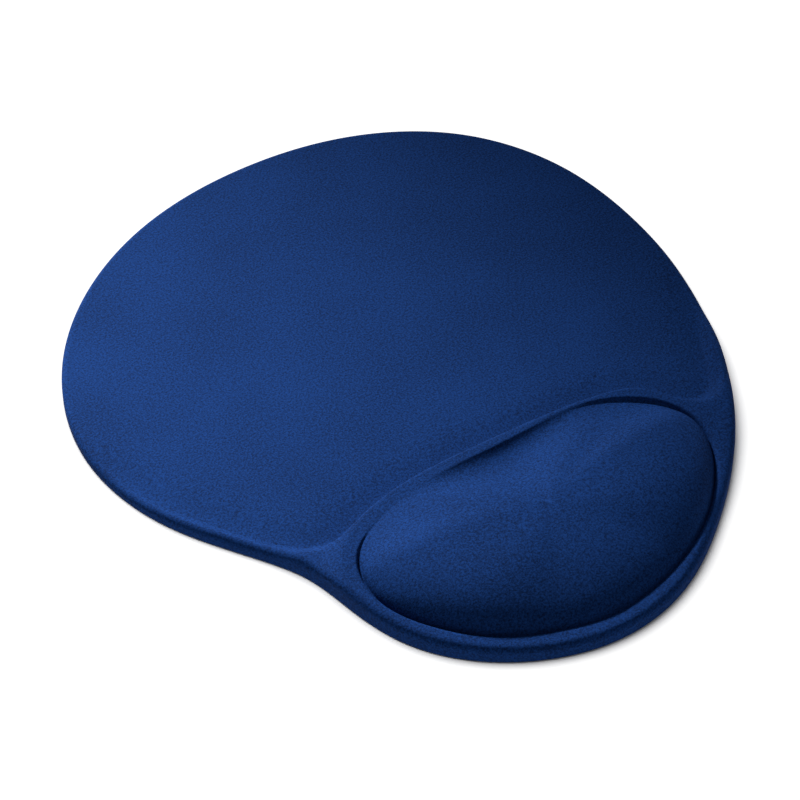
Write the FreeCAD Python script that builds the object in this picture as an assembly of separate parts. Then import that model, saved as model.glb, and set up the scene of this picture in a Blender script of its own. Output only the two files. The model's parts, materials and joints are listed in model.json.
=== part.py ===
"""Foot-shaped mouse pad with a gel wrist rest, as seven laminated pieces.

Frame: millimetres, +Z up, origin at the bottom centre of the bounding box.
-Y is the user's side (wrist pillow), +Y the far side (mouse area), X across.

Every layer follows the same outer form, moved inwards by a depth: the fabric lies
between depth 0 and COVER_T, the film under it down to SKIN_T, and the foam and the gel
pack start at SKIN_T.
"""
import FreeCAD, Part
import math
import os

VEC = FreeCAD.Vector

# Heights above the table
BASE_T = 1.0            # non-slip sheet
PAD_TOP = 4.5           # mouse surface
RIM_TOP = 7.0           # raised rim round the pillow
SEAM_Z = 5.6            # crease where the pillow meets the rim
CROWN_Z = 16.0          # highest point of the pillow
HEM_Z = 0.3             # lower edge of the fabric skirt

# Layers
COVER_T = 0.7           # knitted fabric
FILM_T = 0.2            # film laminated under the fabric
SKIN_T = COVER_T + FILM_T
PACK_FILM_T = 0.3       # film of the gel pack
PACK_FLOOR_Z = 3.0      # inside bottom of the gel pack
PACK_FLANGE_W = 1.6     # welded flange round the gel pack
SEAM_W = 0.8            # width of the crease's floor
BASE_INSET = 1.8        # base sheet's edge inside the outline

# Rounding of the upper edges
PAD_EDGE_R = 1.8
RIM_EDGE_R = 1.2
STEP_EDGE_R = 0.5       # what a rounding shrinks to in the innermost layer
PAD_TUCK = 1.5          # the pad's edge runs this far inside the rim's round the pillow
LIP_TUCK = 2.0          # the lips' edge runs this far inside the pad's beside the mouse area

# The lips along the left and right edges fall from the rim to the mouse surface
RAMP_START_Y = -45.0
RAMP_END_Y = 8.0
RAMP_DROP = RIM_TOP - PAD_TOP

PAD_TUCK_START_Y = -10.0
PAD_TUCK_END_Y = -60.0
LIP_TUCK_START_Y = -40.0
LIP_TUCK_END_Y = 0.0

# Sizes of solids that only cut or are cut away
CLEAR = 10.0            # how far a cutting solid reaches past the piece
SIDE = 130.0            # half the width of the block under the lips' slope
OVERLAP = 1.0           # how far two fused or nested solids run into each other

# Outline of the whole pad, counter-clockwise from the user's side
PAD_OUTLINE = [
    (-6, -118), (20, -112.5), (44, -97), (65.6, -76.5), (84, -49), (97, -16),
    (102.2, 22), (97.6, 60), (79.3, 91.3), (49, 110.7), (8, 117.6), (-33, 111.1),
    (-67, 92.3), (-92.4, 62), (-102.2, 26), (-95, -8), (-78, -36), (-71.5, -48),
    (-67, -67), (-60.5, -86), (-43, -105.3), (-24, -114.9),
]

# Outline of the pillow, where its crease runs
PILLOW_OUTLINE = [
    (-2, -112), (20, -107), (39, -96.5), (54, -81), (59.7, -67), (57, -55.5),
    (46.5, -46.3), (33, -42), (10, -41.8), (-9, -42), (-24, -42.6), (-45, -47.5),
    (-57.5, -55), (-61.2, -68), (-54, -86), (-38, -101.5), (-22, -108.8),
]

# Foot of the rim on the mouse side: the ridge and the inner edges of the two lips
RECESS_OUTLINE = [
    (-62, -46), (-47, -41.3), (-22, -37.3), (10, -36.8), (36, -37.2), (51, -42),
    (61, -52), (70, -57), (78.5, -50), (88, -20), (91, 20), (60, 50),
    (-60, 50), (-91, 20), (-86, -10), (-73, -36),
]

# Dome of the pillow: its sections shrink towards the crest, which lies behind the middle
CREST = (-1.0, -68.0)
CREST_LEAN = 6.0        # how far the sections move back on the way up
DOME_START_DEG = 16.0
DOME_SECTIONS = 7
DOME_CAP_SCALE = 0.08


def closed_wire(points, z):
    """One smooth closed curve through the points, at height z."""
    curve = Part.BSplineCurve()
    curve.interpolate(Points=[VEC(x, y, z) for x, y in points], PeriodicFlag=True)
    return Part.Wire([curve.toShape()])


def inset_points(points, inset):
    """The points moved inwards, square to the curve; inset is a number or a function of y."""
    curve = Part.BSplineCurve()
    curve.interpolate(Points=[VEC(x, y, 0) for x, y in points], PeriodicFlag=True)
    moved = []
    for x, y in points:
        tangent = curve.tangent(curve.parameter(VEC(x, y, 0)))[0]
        depth = inset(y) if callable(inset) else inset
        moved.append((x - tangent.y * depth, y + tangent.x * depth))
    return moved


def prism(points, z_low, z_high):
    face = Part.Face(closed_wire(points, z_low))
    return face.extrude(VEC(0, 0, z_high - z_low))


def round_top(solid, z_top, radius):
    """Rounds the edges that lie in the plane z_top."""
    edges = [e for e in solid.Edges
             if abs(e.BoundBox.ZMin - z_top) < 1e-4 and abs(e.BoundBox.ZMax - z_top) < 1e-4]
    return solid.makeFillet(radius, edges)


def ease(value, start, end):
    """0 at start, 1 at end, smooth between."""
    share = min(1.0, max(0.0, (value - start) / (end - start)))
    return share * share * (3.0 - 2.0 * share)


def platform(depth, z_low):
    """The flat pad. Under the rim its edge runs a little inside the rim's."""
    def inset(y):
        return depth + PAD_TUCK * ease(y, PAD_TUCK_START_Y, PAD_TUCK_END_Y)
    z_top = PAD_TOP - depth
    block = prism(inset_points(PAD_OUTLINE, inset), z_low, z_top)
    return round_top(block, z_top, max(PAD_EDGE_R - depth, STEP_EDGE_R))


def ramp(depth):
    """Everything under the rim's top and the slope that ends its lips."""
    z_top = RIM_TOP - depth + OVERLAP
    slope = RAMP_DROP / (RAMP_END_Y - RAMP_START_Y)
    start = RAMP_START_Y - OVERLAP / slope
    profile = [
        VEC(-SIDE, -SIDE, -CLEAR), VEC(-SIDE, SIDE, -CLEAR),
        VEC(-SIDE, SIDE, z_top - slope * (SIDE - start)),
        VEC(-SIDE, start, z_top), VEC(-SIDE, -SIDE, z_top),
    ]
    face = Part.Face(Part.makePolygon(profile + profile[:1]))
    return face.extrude(VEC(2 * SIDE, 0, 0))


def rim(depth, z_low):
    """The raised rim with its two lips, open over the pillow."""
    def inset(y):
        return depth + LIP_TUCK * ease(y, LIP_TUCK_START_Y, LIP_TUCK_END_Y)
    z_top = RIM_TOP - depth
    block = prism(inset_points(PAD_OUTLINE, inset), z_low, z_top)
    recess = prism(inset_points(RECESS_OUTLINE, -depth), BASE_T + OVERLAP, z_top + CLEAR)
    well = prism(inset_points(PILLOW_OUTLINE, -depth), SEAM_Z - depth, z_top + CLEAR)
    block = block.cut(recess).cut(well)
    block = round_top(block, z_top, max(RIM_EDGE_R - depth, STEP_EDGE_R))
    return block.common(ramp(depth))


def dome(depth, z_low):
    """The pillow: an upright foot from z_low to the crease, then the crowned part."""
    foot_points = inset_points(PILLOW_OUTLINE, SEAM_W + depth)
    z_foot = SEAM_Z - depth
    rise = CROWN_Z - SEAM_Z
    start = math.radians(DOME_START_DEG)
    wires = []
    for step in range(DOME_SECTIONS):
        turn = start + (math.pi / 2 - start) * step / (DOME_SECTIONS - 1)
        scale = max(math.cos(turn) / math.cos(start), DOME_CAP_SCALE)
        lift = (math.sin(turn) - math.sin(start)) / (1.0 - math.sin(start))
        lean = CREST_LEAN * lift
        points = [(CREST[0] + (x - CREST[0]) * scale, CREST[1] + (y - CREST[1]) * scale + lean)
                  for x, y in foot_points]
        wires.append(closed_wire(points, z_foot + rise * lift))
    crown = Part.makeLoft(wires, True, False)
    foot = prism(foot_points, z_low, z_foot)
    return foot.fuse(crown)


def outer_form(depth, z_low):
    form = platform(depth, z_low).fuse(rim(depth, z_low))
    return form.fuse(dome(depth, z_low + OVERLAP / 2))


def make_non_slip_base():
    return prism(inset_points(PAD_OUTLINE, BASE_INSET), 0.0, BASE_T)


def make_foam_body():
    block = platform(SKIN_T, BASE_T).fuse(rim(SKIN_T, BASE_T))
    pocket = prism(inset_points(PILLOW_OUTLINE, SEAM_W + SKIN_T), PACK_FLOOR_Z, CROWN_Z)
    flange = prism(inset_points(PILLOW_OUTLINE, SEAM_W + SKIN_T - PACK_FLANGE_W),
                   PACK_FLOOR_Z - PACK_FILM_T, PACK_FLOOR_Z + PACK_FILM_T)
    return block.cut(pocket.fuse(flange))


def make_gel_lower_film():
    points = inset_points(PILLOW_OUTLINE, SEAM_W + SKIN_T - PACK_FLANGE_W)
    return prism(points, PACK_FLOOR_Z - PACK_FILM_T, PACK_FLOOR_Z)


def make_gel_filling():
    return dome(SKIN_T + PACK_FILM_T, PACK_FLOOR_Z)


def make_gel_upper_film():
    points = inset_points(PILLOW_OUTLINE, SEAM_W + SKIN_T - PACK_FLANGE_W)
    flange = prism(points, PACK_FLOOR_Z, PACK_FLOOR_Z + PACK_FILM_T)
    shell = dome(SKIN_T, PACK_FLOOR_Z).fuse(flange)
    return shell.cut(dome(SKIN_T + PACK_FILM_T, PACK_FLOOR_Z - OVERLAP))


def make_skins():
    """The fabric and the film under it, both open below."""
    outside = outer_form(0.0, HEM_Z)
    middle = outer_form(COVER_T, -OVERLAP)
    inside = outer_form(SKIN_T, -2 * OVERLAP)
    fabric = outside.cut(middle)
    film = outer_form(COVER_T, HEM_Z).cut(inside)
    return fabric, film


def main():
    os.makedirs("parts", exist_ok=True)
    fabric, film = make_skins()
    pieces = {
        "fabric_cover": fabric,
        "cover_backing_film": film,
        "gel_upper_film": make_gel_upper_film(),
        "gel_filling": make_gel_filling(),
        "gel_lower_film": make_gel_lower_film(),
        "foam_body": make_foam_body(),
        "non_slip_base": make_non_slip_base(),
    }
    for name, shape in pieces.items():
        box = shape.BoundBox
        print(f"{name:20s} solids {len(shape.Solids)} valid {shape.isValid()} "
              f"volume {shape.Volume:9.1f} x {box.XMin:.2f} {box.XMax:.2f} "
              f"y {box.YMin:.2f} {box.YMax:.2f} z {box.ZMin:.2f} {box.ZMax:.2f}")
        shape.exportStep(f"parts/{name}.step")


main()
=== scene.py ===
"""Looks of a foot-shaped mouse pad with a gel wrist pillow.

Lengths are millimetres in the object's frame until a mesh is made. One height function for
the pillow and one for the rest give the cover's top side. The layers under it follow it.
"""
import json
import math

import bpy
import numpy as np
from mathutils import Matrix, Vector
from mathutils.geometry import delaunay_2d_cdt


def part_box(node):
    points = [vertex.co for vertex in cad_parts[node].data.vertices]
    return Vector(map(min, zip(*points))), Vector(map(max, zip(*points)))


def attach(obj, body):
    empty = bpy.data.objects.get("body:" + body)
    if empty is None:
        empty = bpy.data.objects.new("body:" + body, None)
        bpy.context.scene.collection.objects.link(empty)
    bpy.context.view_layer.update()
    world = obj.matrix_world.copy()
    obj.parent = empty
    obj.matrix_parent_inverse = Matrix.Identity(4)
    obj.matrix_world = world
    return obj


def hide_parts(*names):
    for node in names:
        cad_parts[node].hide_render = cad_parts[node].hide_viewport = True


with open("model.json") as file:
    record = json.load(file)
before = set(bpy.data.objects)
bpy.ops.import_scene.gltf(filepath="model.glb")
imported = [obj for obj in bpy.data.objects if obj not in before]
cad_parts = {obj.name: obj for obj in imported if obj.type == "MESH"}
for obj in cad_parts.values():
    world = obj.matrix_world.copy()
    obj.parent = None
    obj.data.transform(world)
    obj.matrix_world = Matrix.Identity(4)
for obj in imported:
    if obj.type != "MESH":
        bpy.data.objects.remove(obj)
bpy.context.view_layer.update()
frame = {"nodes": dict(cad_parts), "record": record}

BODY = "root"
MM = 0.001

# ---- sizes read from the frame -------------------------------------------------------


def low_z(node):
    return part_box(node)[0].z / MM


def top_z(node):
    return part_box(node)[1].z / MM


def mount_z(name):
    return next(m["pos_m"][2] for m in frame["record"]["mounts"] if m["name"] == name) / MM


CROWN_Z = top_z("fabric_cover")
LOWER_FILM_T = low_z("gel_upper_film") - low_z("gel_lower_film")
COVER_T = CROWN_Z - top_z("cover_backing_film")
SKIN_T = CROWN_Z - top_z("gel_upper_film")
UPPER_FILM_T = top_z("gel_upper_film") - top_z("gel_filling")
RIM_Z = top_z("foam_body") + SKIN_T
PAD_Z = mount_z("mouse_surface")
HEM_Z = low_z("fabric_cover")
BASE_Z = top_z("non_slip_base")
PACK_FLOOR_Z = low_z("gel_filling")

# ---- shape of the surface ------------------------------------------------------------
FAN = np.array([0.0, -77.0])           # the layers' rays start here, inside the pillow
RIDGE_FOOT = [                         # where the mouse area meets the rim, left to right
    (-100, 6), (-94, -7), (-86, -21), (-78, -33), (-69.5, -41.6), (-59, -44.6), (-48.5, -41.8),
    (-35, -38.6), (-17, -37.3), (15, -38.0), (42, -40), (53, -43.6), (62, -53.5), (69, -57.2),
    (75, -55), (82, -44.7), (92, -28),
]
LIP_START_Y = -45.0                    # the side lips sink from here
LIP_END_Y = 8.0                        # to here, where they are gone
RIDGE_SLOPE = 1.5                      # half the width of the step up from the mouse area
LIP_SLOPE = 3.0                        # the same beside the lips
LIP_SLOPE_START_X = 52.0               # the step starts to widen this far from the middle
LIP_SLOPE_FADE = 20.0                  # and has widened this much further out
DIP_DEPTH = 0.8                        # the mouse area sags a little before the rim
DIP_REACH = 7.0
DIP_END_Y = 60.0                       # there is no sag behind here
DIP_FADE = 40.0                        # and it is full this much nearer the user
TABLE_SMOOTHING = 40                   # passes of averaging between neighbouring degrees
BAND_LEVEL = 4.0                       # the rim keeps its own height this far from the pillow
BAND_FADE = 8.0                        # and meets the lips' height this much further out
RIM_LEVELS = [                         # degrees round FAN, height of the rim's top
    (-180, 7.0), (-150, 5.9), (-120, 5.6), (-90, 5.6), (-60, 5.6), (-20, 5.8), (0, 6.3),
    (20, 7.6), (40, 9.6), (65, 10.5), (90, 10.5), (115, 10.5), (140, 10.2), (155, 9.4),
    (168, 8.2),
]
CREASE_DEPTHS = [                      # degrees round FAN, how far the crease lies below it
    (-180, 3.2), (-160, 2.6), (-140, 1.6), (-120, 1.4), (-90, 1.4), (-60, 1.4), (-20, 1.8),
    (5, 2.2), (22, 2.0), (38, 1.0), (50, 0.3), (62, 0.1), (90, 0.1), (120, 0.0), (152, 0.0),
    (158, 1.0), (164, 2.8),
]
HOLLOWS = [                            # degrees round FAN, share of the hollow by the ridge
    (-180, 0.0), (-90, 0.0), (0, 0.0),
    (30, 0.0), (48, 0.3), (66, 0.8), (90, 1.0), (112, 0.8), (128, 0.3), (142, 0.0), (160, 0.0),
]
HOLLOW_DEPTH = 2.3
HOLLOW_REACH = 7.5                     # the hollow is deepest this far inside the crease
FRONT_BEAD = 2.0                       # how wide the rim rounds over into the crease
BACK_BEAD = 0.8
BEAD_START_Y = -75.0                   # the rounding starts to narrow here
BEAD_FADE = 25.0                       # and is BACK_BEAD wide this much further back
CREST = np.array([-3.0, -74.0])
CREST_ROUND = 0.3                      # share of the way to the crease that the crest rounds
FRONT_FALL = 1.8                       # lower falls away sooner from the crest
SIDE_FALL = 5.0
BACK_FALL = 1.6
FRONT_EDGE = 0.55                      # lower is steeper at the crease
SIDE_EDGE = 0.55
BACK_EDGE = 1.0
SIDE_START_X = 20.0                    # the steep ends of the pillow begin here
SIDE_FULL_X = 58.0
BACK_START_Y = -64.0                   # towards edges behind here the pillow falls gently
BACK_FULL_Y = -44.0
ROLL_PAD = 1.8                         # rounding of the outer edge
ROLL_RIM = 2.4
SHOULDER = 0.2                         # the rim sinks this much more towards the outer edge
SHOULDER_WIDTH = 4.0
SHOULDER_FADE = 20.0                   # it is full this far in front of LIP_START_Y
HEM_ROUND = 0.4
PACK_INSET = 0.1                       # the gel pack ends this far inside the crease

# ---- mesh density --------------------------------------------------------------------
RAYS = 448
PILLOW_RINGS = 35
RING_CROWDING = 1.5                    # above 1, the pillow's rings crowd towards the crease
TOP_RINGS = 70
ROLL_RINGS = 8
WALL_SHARES = (0.35, 0.7, 1.0)         # the side wall's rings, from the rounding to the hem
FINE_STEP = 0.45
FINE_MARGIN = 9.0                      # rings are finest this near the crease and the edge
COARSE_GROWTH = 0.13
SPREAD_SAMPLES = 600
OUTLINE_POINTS = 2400
PILLOW_POINTS = 1600
FOOT_POINTS = 1200
SAME_HEIGHT = 0.01
BATCH = 2000                           # points measured against a curve at one time


def smooth_curve(points, closed, count):
    """count points along the cubic spline through the given ones."""
    knots = np.array(points, float)
    if closed:
        knots = np.vstack([knots, knots[:1]])
    gap = np.hypot(*np.diff(knots, axis=0).T)
    slope = np.diff(knots, axis=0) / gap[:, None]
    n = len(gap)
    size = n if closed else n + 1
    matrix = np.zeros((size, size))
    right = np.zeros((size, 2))
    for i in range(size):
        if not closed and i in (0, n):
            matrix[i, i] = 1.0
            continue
        matrix[i, (i - 1) % size] += gap[i - 1]
        matrix[i, i] += 2 * (gap[i - 1] + gap[i])
        matrix[i, (i + 1) % size] += gap[i]
        right[i] = 6 * (slope[i] - slope[i - 1])
    bend = np.linalg.solve(matrix, right)
    if closed:
        bend = np.vstack([bend, bend[:1]])
    start = np.concatenate([[0], np.cumsum(gap)])
    along = np.linspace(0, start[-1], count, endpoint=not closed)
    k = np.clip(np.searchsorted(start, along, side="right") - 1, 0, n - 1)
    a = ((start[k + 1] - along) / gap[k])[:, None]
    b = 1 - a
    curve = a * knots[k] + b * knots[k + 1]
    return curve + ((a**3 - a) * bend[k] + (b**3 - b) * bend[k + 1]) * gap[k, None] ** 2 / 6


def right_normals(curve, closed):
    """Unit vectors to the right of travel: outward on an anticlockwise loop."""
    if closed:
        along = np.roll(curve, -1, axis=0) - np.roll(curve, 1, axis=0)
    else:
        along = np.gradient(curve, axis=0)
    along /= np.linalg.norm(along, axis=1)[:, None]
    return np.stack([along[:, 1], -along[:, 0]], axis=1)


def lowest_loop(node):
    """The outline of a node's underside, anticlockwise round FAN."""
    place = np.array([v.co for v in frame["nodes"][node].data.vertices]) / MM
    flat = place[place[:, 2] < place[:, 2].min() + SAME_HEIGHT, :2]
    flat = np.unique(flat.round(3), axis=0)
    turn = np.arctan2(flat[:, 1] - FAN[1], flat[:, 0] - FAN[0])
    return flat[np.argsort(turn)]


def grown(loop, distance):
    return loop + right_normals(loop, True) * distance


def node_outline(node, growth, count):
    """The node's underside outline as a smooth loop, growth wider all round."""
    dense = smooth_curve(lowest_loop(node), True, count)
    return grown(dense, growth)


BASE_INSET = (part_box("fabric_cover")[1].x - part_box("non_slip_base")[1].x) / MM
OUTLINE = node_outline("non_slip_base", BASE_INSET, OUTLINE_POINTS)
PILLOW = node_outline("gel_lower_film", PACK_INSET, PILLOW_POINTS)
FOOT = smooth_curve(RIDGE_FOOT, False, FOOT_POINTS)
RAY_ENDS = np.linspace(0, OUTLINE_POINTS, RAYS, endpoint=False).astype(int)


def signed_distance(points, curve, closed):
    """Distance of each point from the curve, positive on its right-hand side."""
    normals = right_normals(curve, closed)
    out = np.empty(len(points))
    for first in range(0, len(points), BATCH):
        part = points[first:first + BATCH]
        apart = ((part[:, None, :] - curve[None, :, :]) ** 2).sum(axis=2)
        near = apart.argmin(axis=1)
        out[first:first + BATCH] = ((part - curve[near]) * normals[near]).sum(axis=1)
    return out


def ease(x):
    """0 to 1 as x goes from 0 to 1, level at both ends."""
    x = np.clip(x, 0, 1)
    return x * x * (3 - 2 * x)


def polar(loop, centre):
    """Angle and radius of a loop's points about a centre, sorted by angle."""
    away = loop - centre
    turn = np.arctan2(away[:, 1], away[:, 0])
    order = np.argsort(turn)
    return turn[order], np.hypot(away[:, 0], away[:, 1])[order]


def radius_at(loop, centre, turn):
    turns, radii = polar(loop, centre)
    return np.interp(turn, turns, radii, period=2 * math.pi)


def turn_of(points, centre):
    away = points - centre
    return np.arctan2(away[:, 1], away[:, 0])


def round_table(points, table):
    """Value of a table of (degrees, value) at each point's angle round FAN, with no kinks."""
    turn = np.degrees(turn_of(points, FAN))
    stops = np.array([row[0] for row in table], float)
    values = np.array([row[1] for row in table], float)
    even = np.arange(-180, 180, 1.0)
    level = np.interp(even, stops, values, period=360)
    for _ in range(TABLE_SMOOTHING):
        level = (np.roll(level, 1) + 2 * level + np.roll(level, -1)) / 4
    return np.interp(turn, even, level, period=360)


def lip_height(points):
    """Height of the side lips: level by the pillow, sinking to the mouse area."""
    sink = ease((points[:, 1] - LIP_START_Y) / (LIP_END_Y - LIP_START_Y))
    return RIM_Z + (PAD_Z - RIM_Z) * sink


def crease_height(points):
    return round_table(points, RIM_LEVELS) - round_table(points, CREASE_DEPTHS)


def open_surface(points):
    """Height of the cover's top side outside the pillow."""
    foot = signed_distance(points, FOOT, False)
    out = signed_distance(points, PILLOW, True)
    edge = -signed_distance(points, OUTLINE, True)
    lip = ease((np.abs(points[:, 0]) - LIP_SLOPE_START_X) / LIP_SLOPE_FADE)
    half = RIDGE_SLOPE + (LIP_SLOPE - RIDGE_SLOPE) * lip
    up = ease(0.5 + foot / (2 * half))
    dip = DIP_DEPTH * np.exp(-((foot + half) / DIP_REACH) ** 2) * (1 - up)
    near = ease((DIP_END_Y - points[:, 1]) / DIP_FADE)
    mouse = PAD_Z - dip * near
    band = 1 - ease((out - BAND_LEVEL) / BAND_FADE)
    lips = lip_height(points)
    level = lips + (round_table(points, RIM_LEVELS) - lips) * band
    height = mouse + (level - mouse) * up
    in_front = ease((LIP_START_Y - points[:, 1]) / SHOULDER_FADE)
    height -= SHOULDER * in_front * np.clip(1 - edge / SHOULDER_WIDTH, 0, 1) ** 2
    back = ease((points[:, 1] - BEAD_START_Y) / BEAD_FADE)
    bead = FRONT_BEAD + (BACK_BEAD - FRONT_BEAD) * back
    into = np.clip(1 - out / bead, 0, 1)
    depth = round_table(points, CREASE_DEPTHS)
    return height - depth * (1 - np.sqrt(np.clip(1 - into**2, 0, 1)))


def pillow_surface(points):
    """Height of the pillow's top side, from the crease up to the crest."""
    away = points - CREST
    turn = turn_of(points, CREST)
    reach = radius_at(PILLOW, CREST, turn)
    edge = CREST + reach[:, None] * np.stack([np.cos(turn), np.sin(turn)], axis=1)
    crease = crease_height(edge)
    share = np.clip(np.hypot(away[:, 0], away[:, 1]) / reach, 0, 1)
    side = ease((np.abs(edge[:, 0]) - SIDE_START_X) / (SIDE_FULL_X - SIDE_START_X))
    back = ease((edge[:, 1] - BACK_START_Y) / (BACK_FULL_Y - BACK_START_Y))
    power = FRONT_FALL + (SIDE_FALL - FRONT_FALL) * side
    power += (BACK_FALL - power) * back
    sharp = FRONT_EDGE + (SIDE_EDGE - FRONT_EDGE) * side
    sharp += (BACK_EDGE - sharp) * back
    low = CREST_ROUND**power
    fall = (share**2 + CREST_ROUND**2) ** (power / 2) - low
    fall /= (1 + CREST_ROUND**2) ** (power / 2) - low
    hollow = round_table(edge, HOLLOWS)
    dome = np.clip(1 - fall, 0, 1) ** sharp
    wave = 0.5 + 0.5 * np.cos(math.pi * share)
    height = crease + (CROWN_Z - crease) * (dome + (wave - dome) * hollow)
    inside = reach * (1 - share) / HOLLOW_REACH
    return height - HOLLOW_DEPTH * hollow * inside * np.exp(1 - inside)


# ---- meshes --------------------------------------------------------------------------


def new_object(name, points, faces, smooth=True):
    mesh = bpy.data.meshes.new(name)
    mesh.from_pydata((np.asarray(points) * MM).tolist(), [], faces)
    mesh.update()
    mesh.polygons.foreach_set("use_smooth", [smooth] * len(mesh.polygons))
    piece = bpy.data.objects.new(name, mesh)
    bpy.context.scene.collection.objects.link(piece)
    return piece


def ring_faces(first, second, count, flip=False):
    """Quads between two closed rings of count points."""
    faces = []
    for i in range(count):
        j = (i + 1) % count
        quad = (first + i, second + i, second + j, first + j)
        faces.append(quad[::-1] if flip else quad)
    return faces


def fan_faces(centre, first, count, flip=False):
    faces = []
    for i in range(count):
        tri = (centre, first + i, first + (i + 1) % count)
        faces.append(tri[::-1] if flip else tri)
    return faces


def closed_mesh(name, rings, start, end):
    """A closed skin from a start point, through rings of equal count, to an end point."""
    count = len(rings[0])
    points = np.vstack([[start], *rings, [end]])
    faces = fan_faces(0, 1, count)
    for k in range(len(rings) - 1):
        faces += ring_faces(1 + k * count, 1 + (k + 1) * count, count)
    last = 1 + (len(rings) - 1) * count
    faces += fan_faces(len(points) - 1, last, count, flip=True)
    return new_object(name, points, faces)


def spread(gap, count):
    """count shares from 0 to 1 of a gap, close together at both ends."""
    place = np.linspace(0, gap, SPREAD_SAMPLES)
    edge = np.minimum(place, gap - place)
    step = FINE_STEP + COARSE_GROWTH * np.clip(edge - FINE_MARGIN, 0, None)
    run = np.concatenate([[0], np.cumsum(np.diff(place) / (0.5 * (step[1:] + step[:-1])))])
    return np.interp(np.linspace(0, run[-1], count), run, place) / gap


def flat_rings(inset):
    """Plan of the rings between the pillow's edge and the start of the edge's rounding."""
    edge = OUTLINE[RAY_ENDS]
    normal = right_normals(OUTLINE, True)[RAY_ENDS]
    away = edge - FAN
    turn = np.arctan2(away[:, 1], away[:, 0])
    inner = radius_at(PILLOW, FAN, turn)
    start = FAN + inner[:, None] * np.stack([np.cos(turn), np.sin(turn)], axis=1)
    stop = edge - normal * inset[RAY_ENDS][:, None]
    gap = np.linalg.norm(stop - start, axis=1)
    shares = np.stack([spread(g, TOP_RINGS + 1) for g in gap], axis=1)
    rings = [start + (stop - start) * s[:, None] for s in shares]
    return rings, start, edge, normal


def roll_width():
    """Width of the outer edge's rounding along the outline: wider round the rim."""
    rim = ease((LIP_END_Y - OUTLINE[:, 1]) / (LIP_END_Y - LIP_START_Y))
    return ROLL_PAD + (ROLL_RIM - ROLL_PAD) * rim


def cover_surface():
    """Rings of the cover's outer side, from the pillow's middle to the hem."""
    width = roll_width()
    flats, start, edge, normal = flat_rings(width)
    shares = 1 - (1 - np.linspace(0, 1, PILLOW_RINGS + 1)[1:-1]) ** RING_CROWDING
    rings = []
    for share in shares:
        plan = FAN + (start - FAN) * share
        rings.append(np.column_stack([plan, pillow_surface(plan)]))
    for plan in flats:
        rings.append(np.column_stack([plan, open_surface(plan)]))
    top = rings[-1]
    radius = width[RAY_ENDS]
    for k in range(1, ROLL_RINGS + 1):
        turn = math.pi / 2 * k / ROLL_RINGS
        plan = edge - normal * (radius * (1 - math.sin(turn)))[:, None]
        rings.append(np.column_stack([plan, top[:, 2] - radius * (1 - math.cos(turn))]))
    wall_top = rings[-1][:, 2]
    for share in WALL_SHARES:
        height = wall_top + (HEM_Z + HEM_ROUND - wall_top) * share
        rings.append(np.column_stack([edge, height]))
    for turn in (math.pi / 4, math.pi / 2):
        plan = edge - normal * HEM_ROUND * (1 - math.cos(turn))
        height = np.full(RAYS, HEM_Z + HEM_ROUND * (1 - math.sin(turn)))
        rings.append(np.column_stack([plan, height]))
    middle = np.append(FAN, pillow_surface(FAN[None, :])[0])
    return middle, rings


def layer_directions(middle, rings):
    """Unit vector at every ring point along which the layers lie: up, or outward at the edge."""
    grid = np.stack([np.tile(middle, (RAYS, 1)), *rings])
    down = np.gradient(grid, axis=0)
    across = np.roll(grid, -1, axis=1) - np.roll(grid, 1, axis=1)
    outward = np.cross(down[1:], across[1:])
    outward /= np.linalg.norm(outward, axis=2)[:, :, None]
    outward[:PILLOW_RINGS + TOP_RINGS] = (0, 0, 1)
    return outward


def sunk(middle, rings, normals, depth):
    """The same surface, depth further in."""
    return middle - np.array([0, 0, depth]), [r - n * depth for r, n in zip(rings, normals)]


def skin_piece(name, surface, outer, inner, last, inner_step):
    """A closed sheet between two depths under the cover's outer side, as far as ring last."""
    middle, rings, normals = surface
    top_mid, top = sunk(middle, rings[:last], normals, outer)
    low_mid, low = sunk(middle, rings[:last], normals, inner)
    kept = sorted({*range(0, last, inner_step), last - 1}, reverse=True)
    return closed_mesh(name, top + [low[k] for k in kept], top_mid, low_mid)


def every(rings, step):
    """Fewer points on each ring and fewer rings, keeping the first and the last."""
    kept = sorted({*range(0, len(rings), step), len(rings) - 1})
    return [rings[k][::step] for k in kept]


def flat_ring(ring, height):
    return np.column_stack([ring[:, :2], np.full(len(ring), height)])


def raised_to(rings, height):
    """Rings with no point lower than a height."""
    return [np.column_stack([r[:, :2], np.maximum(r[:, 2], height)]) for r in rings]


def at_height(height):
    return np.array([FAN[0], FAN[1], height])


# ---- materials -----------------------------------------------------------------------
COVER_BLUE = (0.0042, 0.0228, 0.100)
GEL_BLUE = (0.14, 0.34, 0.55)
FOAM_GREY = (0.05, 0.05, 0.055)
RUBBER_BLACK = (0.022, 0.022, 0.024)
BACKING_TINT = (0.09, 0.13, 0.22)
PACK_TINT = (0.55, 0.66, 0.74)
FIBRE_SIZE = 0.65
LOOP_SIZE = 0.35
LOOP_SHARE = 0.35                      # how much of the speck comes from the loops
PATCH_SIZE = 38.0
PATCH_SHARE = 0.12


def material(name):
    made = bpy.data.materials.new(name)
    made.use_nodes = True
    tree = made.node_tree
    return made, tree, tree.nodes["Principled BSDF"], object_place(tree)


def object_place(tree):
    return tree.nodes.new("ShaderNodeTexCoord").outputs["Object"]


def noise(tree, place, size, detail=2.0, rough=0.5):
    """Noise with features about size millimetres wide."""
    node = tree.nodes.new("ShaderNodeTexNoise")
    node.inputs["Scale"].default_value = 1 / (size * MM)
    node.inputs["Detail"].default_value = detail
    node.inputs["Roughness"].default_value = rough
    tree.links.new(place, node.inputs["Vector"])
    return node.outputs["Fac"]


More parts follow.
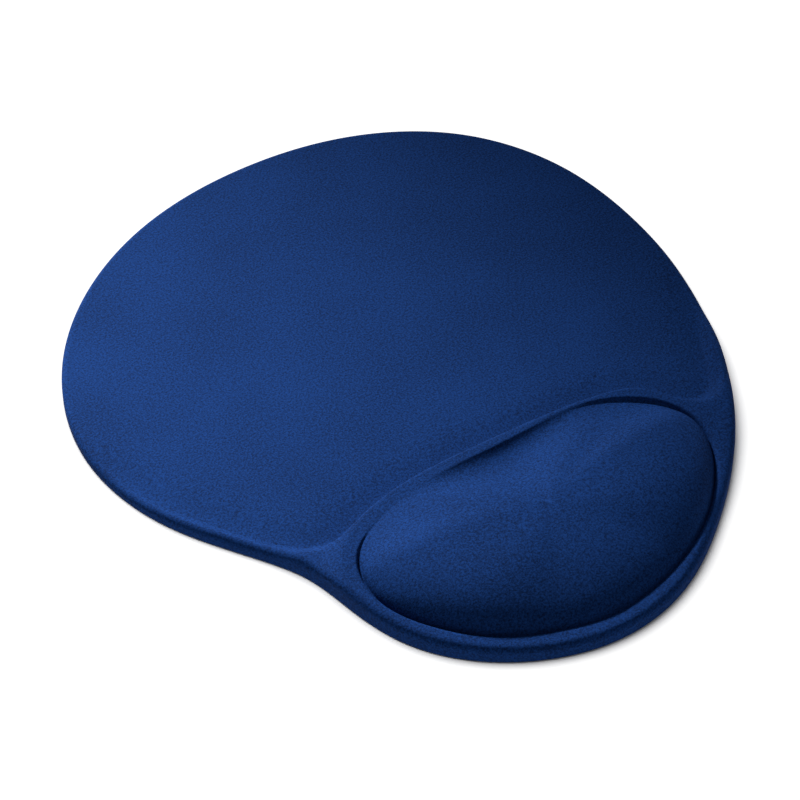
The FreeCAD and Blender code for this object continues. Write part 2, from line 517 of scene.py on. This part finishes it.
def cells(tree, place, size):
    node = tree.nodes.new("ShaderNodeTexVoronoi")
    node.inputs["Scale"].default_value = 1 / (size * MM)
    tree.links.new(place, node.inputs["Vector"])
    return node.outputs["Distance"]


def ramp(tree, factor, stops):
    node = tree.nodes.new("ShaderNodeValToRGB")
    line = node.color_ramp
    for k, (at, colour) in enumerate(stops):
        stop = line.elements[k] if k < 2 else line.elements.new(at)
        stop.position = at
        stop.color = (*colour, 1)
    tree.links.new(factor, node.inputs["Fac"])
    return node.outputs["Color"]


def math_node(tree, operation, *values):
    node = tree.nodes.new("ShaderNodeMath")
    node.operation = operation
    for socket, value in zip(node.inputs, values):
        if isinstance(value, (int, float)):
            socket.default_value = value
        else:
            tree.links.new(value, socket)
    return node.outputs["Value"]


def bump(tree, shader, height, distance, strength=1.0):
    node = tree.nodes.new("ShaderNodeBump")
    node.inputs["Strength"].default_value = strength
    node.inputs["Distance"].default_value = distance * MM
    tree.links.new(height, node.inputs["Height"])
    tree.links.new(node.outputs["Normal"], shader.inputs["Normal"])


def scaled(colour, factor):
    return tuple(c * factor for c in colour)


def cover_fabric():
    """Brushed stretch knit: short mottled fibres over fine loops."""
    made, tree, shader, place = material("cover_fabric")
    fibre = noise(tree, place, FIBRE_SIZE, 2.0, 0.6)
    loops = noise(tree, place, LOOP_SIZE, 1.0, 0.5)
    patches = noise(tree, place, PATCH_SIZE, 2.0, 0.5)
    fibre_part = math_node(tree, "MULTIPLY", fibre, 1 - LOOP_SHARE)
    speck = math_node(tree, "MULTIPLY_ADD", loops, LOOP_SHARE, fibre_part)
    mottled = math_node(tree, "MULTIPLY_ADD", patches, PATCH_SHARE, speck)
    stops = ((0.42, scaled(COVER_BLUE, 0.5)), (0.54, COVER_BLUE), (0.67, scaled(COVER_BLUE, 1.6)))
    tree.links.new(ramp(tree, mottled, stops), shader.inputs["Base Color"])
    rough = math_node(tree, "MULTIPLY_ADD", fibre, 0.18, 0.74)
    tree.links.new(rough, shader.inputs["Roughness"])
    shader.inputs["Specular IOR Level"].default_value = 0.03
    bump(tree, shader, speck, 0.16, 0.5)
    return made


def film(name, colour, clear, rough):
    """Thin elastic film: cloudy patches and fine stretch wrinkles."""
    made, tree, shader, place = material(name)
    patches = noise(tree, place, 22.0, 3.0, 0.55)
    wrinkles = noise(tree, place, 2.6, 3.0, 0.6)
    stops = ((0.3, scaled(colour, 0.85)), (0.7, scaled(colour, 1.12)))
    tree.links.new(ramp(tree, patches, stops), shader.inputs["Base Color"])
    tree.links.new(math_node(tree, "MULTIPLY_ADD", wrinkles, 0.2, rough),
                   shader.inputs["Roughness"])
    shader.inputs["Transmission Weight"].default_value = clear
    shader.inputs["IOR"].default_value = 1.49
    bump(tree, shader, wrinkles, 0.08, 0.6)
    return made


def gel():
    """Soft translucent gel with slow density changes and a few small bubbles."""
    made, tree, shader, place = material("gel")
    slow = noise(tree, place, 16.0, 2.0, 0.5)
    bubbles = math_node(tree, "LESS_THAN", cells(tree, place, 3.4), 0.09)
    cloud = math_node(tree, "MULTIPLY_ADD", bubbles, 0.25, slow)
    stops = ((0.3, scaled(GEL_BLUE, 0.8)), (0.62, GEL_BLUE), (0.9, scaled(GEL_BLUE, 1.7)))
    tree.links.new(ramp(tree, cloud, stops), shader.inputs["Base Color"])
    tree.links.new(math_node(tree, "MULTIPLY_ADD", slow, 0.12, 0.08), shader.inputs["Roughness"])
    shader.inputs["Transmission Weight"].default_value = 0.65
    shader.inputs["IOR"].default_value = 1.43
    bump(tree, shader, slow, 0.1, 0.3)
    return made


def foam():
    """Fine-celled moulded foam."""
    made, tree, shader, place = material("foam")
    pores = cells(tree, place, 0.9)
    tone = math_node(tree, "MULTIPLY_ADD", noise(tree, place, 5.0), 0.35, pores)
    stops = ((0.15, scaled(FOAM_GREY, 0.45)), (0.55, FOAM_GREY), (0.95, scaled(FOAM_GREY, 1.5)))
    tree.links.new(ramp(tree, tone, stops), shader.inputs["Base Color"])
    tree.links.new(math_node(tree, "MULTIPLY_ADD", pores, 0.15, 0.8), shader.inputs["Roughness"])
    shader.inputs["Specular IOR Level"].default_value = 0.2
    bump(tree, shader, pores, 0.3, 0.7)
    return made


def base_rubber():
    """Matt black rubber with a fine moulded grain and a little dust."""
    made, tree, shader, place = material("base_rubber")
    grain = noise(tree, place, 0.5, 2.0, 0.6)
    dust = noise(tree, place, 14.0, 3.0, 0.6)
    tone = math_node(tree, "MULTIPLY_ADD", grain, 0.3, math_node(tree, "MULTIPLY", dust, 0.7))
    stops = ((0.3, scaled(RUBBER_BLACK, 0.75)), (0.55, RUBBER_BLACK),
             (0.8, scaled(RUBBER_BLACK, 1.8)))
    tree.links.new(ramp(tree, tone, stops), shader.inputs["Base Color"])
    tree.links.new(math_node(tree, "MULTIPLY_ADD", dust, 0.2, 0.55), shader.inputs["Roughness"])
    shader.inputs["Specular IOR Level"].default_value = 0.35
    bump(tree, shader, grain, 0.06, 0.6)
    return made


def paint(piece, made):
    piece.data.materials.clear()
    piece.data.materials.append(made)


# ---- pieces --------------------------------------------------------------------------
LAYER_STEP = 2                         # hidden layers use every second ray and ring
POCKET_RINGS = 2                       # the pocket starts this many rings past the gel pack
FOAM_END_RINGS = 2                     # the foam's wall ends this many rings before the hem
FLANGE_SPREAD = 1.012                  # how much wider than the gel the pack's flange is
FLOOR_RING = 0.5                       # flat floors have one ring this far out
GRIP_PITCH = 4.4                       # spacing of the grip domes under the base
GRIP_RADIUS = 1.5
GRIP_HEIGHT = 0.3
GRIP_WAIST = 0.6                       # a dome is this share of its radius wide at its waist
GRIP_WAIST_LEVEL = 0.3                 # which lies at this share of its height from the table
GRIP_SIDES = 7
GRIP_MARGIN = 3.0                      # no domes this near the edge
BASE_EDGE_POINTS = 500
KEEP_INSIDE = 1                        # the triangulation keeps what the outline encloses
MERGE_DISTANCE = 0.0001


def finish_piece(piece, node, made):
    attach(piece, BODY)
    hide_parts(node)
    paint(piece, made)
    return piece


def as_sheet(piece):
    """Returns the piece unchanged."""
    return piece


def declare_sheets(cover, backing, foam_block, gel_block, upper, lower, base):
    as_sheet(cover)
    as_sheet(backing)
    as_sheet(upper)
    as_sheet(lower)
    as_sheet(base)


def build_cover(surface):
    piece = skin_piece("fabric_cover_soft", surface, 0.0, COVER_T, len(surface[1]), LAYER_STEP)
    return finish_piece(piece, "fabric_cover", cover_fabric())


def layer_surface(surface):
    """The same surface with fewer points, for the layers that the cover hides."""
    middle, rings, normals = surface
    return middle, every(rings, LAYER_STEP), every(list(normals), LAYER_STEP)


def build_backing_film(layers):
    hem = len(layers[1]) - 1
    piece = skin_piece("cover_backing_film_soft", layers, COVER_T, SKIN_T, hem, 1)
    made = film("backing_film", BACKING_TINT, 0.1, 0.4)
    return finish_piece(piece, "cover_backing_film", made)


def build_foam(layers, pocket_ring):
    """Foam under the film, with a flat-bottomed pocket under the pillow."""
    middle, rings, normals = layers
    top = sunk(middle, rings, normals, SKIN_T)[1][pocket_ring:-FOAM_END_RINGS]
    rim = top[0]
    floor_z = PACK_FLOOR_Z - LOWER_FILM_T
    rings = [flat_ring(FAN + (rim[:, :2] - FAN) * FLOOR_RING, floor_z)]
    rings += [flat_ring(rim, floor_z), flat_ring(rim, (floor_z + rim[:, 2].min()) / 2)]
    rings += top + [flat_ring(top[-1], BASE_Z)]
    piece = closed_mesh("foam_body_soft", rings, at_height(floor_z), at_height(BASE_Z))
    return finish_piece(piece, "foam_body", foam())


def build_gel(layers, last):
    """Gel from the pack's floor up to its domed film."""
    middle, rings, normals = layers
    depth = SKIN_T + UPPER_FILM_T
    crown, top = sunk(middle, rings[:last], normals, depth)
    top = raised_to(top, PACK_FLOOR_Z + UPPER_FILM_T)
    rings = top + [flat_ring(top[-1], PACK_FLOOR_Z)]
    piece = closed_mesh("gel_filling_soft", rings, crown, at_height(PACK_FLOOR_Z))
    return finish_piece(piece, "gel_filling", gel())


def build_upper_film(layers, last):
    """Domed film over the gel, with a narrow welded flange round it."""
    middle, rings, normals = layers
    outer_mid, outer = sunk(middle, rings[:last], normals, SKIN_T)
    inner_mid, inner = sunk(middle, rings[:last], normals, SKIN_T + UPPER_FILM_T)
    outer = raised_to(outer, PACK_FLOOR_Z + 2 * UPPER_FILM_T)
    inner = raised_to(inner, PACK_FLOOR_Z + UPPER_FILM_T)
    flange = FAN + (inner[-1][:, :2] - FAN) * FLANGE_SPREAD
    rim = [flat_ring(flange, PACK_FLOOR_Z + UPPER_FILM_T), flat_ring(flange, PACK_FLOOR_Z)]
    foot = [flat_ring(inner[-1], PACK_FLOOR_Z)]
    piece = closed_mesh("gel_upper_film_soft", outer + rim + foot + inner[::-1],
                        outer_mid, inner_mid)
    return finish_piece(piece, "gel_upper_film",
                        film("pack_film", PACK_TINT, 0.6, 0.12))


def build_lower_film(layers, last):
    """Flat bottom film of the gel pack, as wide as the upper film's flange."""
    edge = layers[1][last - 1] - layers[2][last - 1] * SKIN_T
    plan = FAN + (edge[:, :2] - FAN) * FLANGE_SPREAD
    low = PACK_FLOOR_Z - LOWER_FILM_T
    inner = flat_ring(FAN + (plan - FAN) * FLOOR_RING, PACK_FLOOR_Z)
    rings = [inner, flat_ring(plan, PACK_FLOOR_Z), flat_ring(plan, low), flat_ring(inner, low)]
    piece = closed_mesh("gel_lower_film_soft", rings, at_height(PACK_FLOOR_Z), at_height(low))
    return finish_piece(piece, "gel_lower_film",
                        film("pack_film_floor", PACK_TINT, 0.6, 0.12))


def grip_centres(outline):
    """Centres of the domes: staggered rows inside the outline."""
    row_step = GRIP_PITCH * math.sqrt(3) / 2
    low, high = outline.min(axis=0), outline.max(axis=0)
    centres = []
    for row, y in enumerate(np.arange(low[1], high[1], row_step)):
        start = low[0] + (row % 2) * GRIP_PITCH / 2
        centres += [(x, y) for x in np.arange(start, high[0], GRIP_PITCH)]
    centres = np.array(centres)
    inside = -signed_distance(centres, outline, True)
    return centres[inside > GRIP_MARGIN]


def grip_points(outline):
    """Plan points and heights of the underside: its edge, then the domes."""
    centres = grip_centres(outline)
    turn = np.linspace(0, 2 * math.pi, GRIP_SIDES, endpoint=False)
    spokes = np.stack([np.cos(turn), np.sin(turn)], axis=1)
    foot = (centres[:, None, :] + spokes * GRIP_RADIUS).reshape(-1, 2)
    waist = (centres[:, None, :] + spokes * GRIP_RADIUS * GRIP_WAIST).reshape(-1, 2)
    plan = np.vstack([outline, foot, waist, centres])
    height = np.full(len(plan), GRIP_HEIGHT)
    height[len(outline) + len(foot):] = GRIP_HEIGHT * GRIP_WAIST_LEVEL
    height[-len(centres):] = 0.0
    return np.column_stack([plan, height])


def build_base():
    """Rubber sheet whose underside stands on small raised domes."""
    outline = node_outline("non_slip_base", 0.0, BASE_EDGE_POINTS)
    under = grip_points(outline)
    count = len(outline)
    edges = [(i, (i + 1) % count) for i in range(count)]
    flat = [Vector(p) for p in under[:, :2].tolist()]
    plan, _, tris, _, _, _ = delaunay_2d_cdt(flat, edges, [], KEEP_INSIDE, MERGE_DISTANCE)
    if len(plan) != len(under):
        raise RuntimeError("the underside's points were merged")
    points = np.vstack([under, flat_ring(outline, BASE_Z), [at_height(BASE_Z)]])
    first_top = len(under)
    faces = [tuple(reversed(tri)) for tri in tris]
    faces += ring_faces(first_top, 0, count)
    faces += fan_faces(len(points) - 1, first_top, count)
    piece = new_object("non_slip_base_sheet", points, faces, smooth=False)
    return finish_piece(piece, "non_slip_base", base_rubber())


# ---- stage ---------------------------------------------------------------------------
CAMERA_AZIMUTH = math.radians(-33.5)
CAMERA_ELEVATION = math.radians(45.0)
CAMERA_DISTANCE = 900.0
CAMERA_TARGET = (-7.26, -1.13, 0.0)
LENS = 129.8
KEY_PLACE = (20.0, 1089.0, 735.0)
KEY_TARGET = (-150.0, -40.0, 0.0)
KEY_CONE = 24.0
KEY_RADIUS = 90.0
KEY_WATTS = 200.0
WASH_PLACE = (-300.0, 500.0, 1500.0)
WASH_TARGET = (0.0, 0.0, 0.0)
WASH_SIZE = 1500.0
WASH_WATTS = 36.0
SKY = 0.24
FLOOR_HALF_WIDTH = 3000.0
FLOOR_PATCH_SIZE = 400.0


def point_at(place, target):
    back = (Vector(place) - Vector(target)).normalized()
    turned = back.to_track_quat("Z", "Y").to_matrix().to_4x4()
    return Matrix.Translation(Vector(place) * MM) @ turned


def add_camera():
    back = Vector((
        math.sin(CAMERA_AZIMUTH) * math.cos(CAMERA_ELEVATION),
        -math.cos(CAMERA_AZIMUTH) * math.cos(CAMERA_ELEVATION),
        math.sin(CAMERA_ELEVATION),
    ))
    data = bpy.data.cameras.new("camera")
    data.lens = LENS
    data.clip_start = 0.01
    data.clip_end = 50
    camera = bpy.data.objects.new("camera", data)
    place = Vector(CAMERA_TARGET) + back * CAMERA_DISTANCE
    camera.matrix_world = point_at(place, CAMERA_TARGET)
    bpy.context.scene.collection.objects.link(camera)
    bpy.context.scene.camera = camera


def lit_only(light, name, objects):
    """The light reaches only these objects."""
    group = bpy.data.collections.new(name)
    for item in objects:
        group.objects.link(item)
    light.light_linking.receiver_collection = group


def add_light(data, place, target, watts):
    data.energy = watts
    light = bpy.data.objects.new(data.name, data)
    light.matrix_world = point_at(place, target)
    light.visible_camera = False
    bpy.context.scene.collection.objects.link(light)
    return light


def add_key(pieces):
    data = bpy.data.lights.new("key", "SPOT")
    data.spot_size = math.radians(KEY_CONE)
    data.spot_blend = 1.0
    data.shadow_soft_size = KEY_RADIUS * MM
    light = add_light(data, KEY_PLACE, KEY_TARGET, KEY_WATTS)
    lit_only(light, "lit by the key", pieces)


def add_floor_wash(floor):
    data = bpy.data.lights.new("floor_wash", "AREA")
    data.shape = "DISK"
    data.size = WASH_SIZE * MM
    light = add_light(data, WASH_PLACE, WASH_TARGET, WASH_WATTS)
    lit_only(light, "lit by the wash", [floor])


def add_floor():
    side = FLOOR_HALF_WIDTH
    corners = [(-side, -side, 0), (side, -side, 0), (side, side, 0), (-side, side, 0)]
    floor = new_object("floor", corners, [(0, 1, 2, 3)])
    made, tree, shader, place = material("floor")
    tone = ramp(tree, noise(tree, place, FLOOR_PATCH_SIZE), ((0.0, (0.86,) * 3), (1.0, (0.9,) * 3)))
    tree.links.new(tone, shader.inputs["Base Color"])
    shader.inputs["Roughness"].default_value = 0.9
    shader.inputs["Specular IOR Level"].default_value = 0.1
    paint(floor, made)
    return floor


def add_stage(pieces):
    floor = add_floor()
    world = bpy.data.worlds.new("studio")
    world.use_nodes = True
    sky = world.node_tree.nodes["Background"]
    sky.inputs["Color"].default_value = (1, 1, 1, 1)
    sky.inputs["Strength"].default_value = SKY
    bpy.context.scene.world = world
    add_key(pieces)
    add_floor_wash(floor)
    bpy.context.scene.view_settings.view_transform = "Standard"


def main():
    middle, rings = cover_surface()
    surface = (middle, rings, layer_directions(middle, rings))
    layers = layer_surface(surface)
    pack_last = PILLOW_RINGS // LAYER_STEP - 1
    pieces = [
        build_cover(surface),
        build_backing_film(layers),
        build_foam(layers, pack_last + POCKET_RINGS),
        build_gel(layers, pack_last),
        build_upper_film(layers, pack_last),
        build_lower_film(layers, pack_last),
        build_base(),
    ]
    declare_sheets(*pieces)
    add_stage(pieces)
    add_camera()


main()
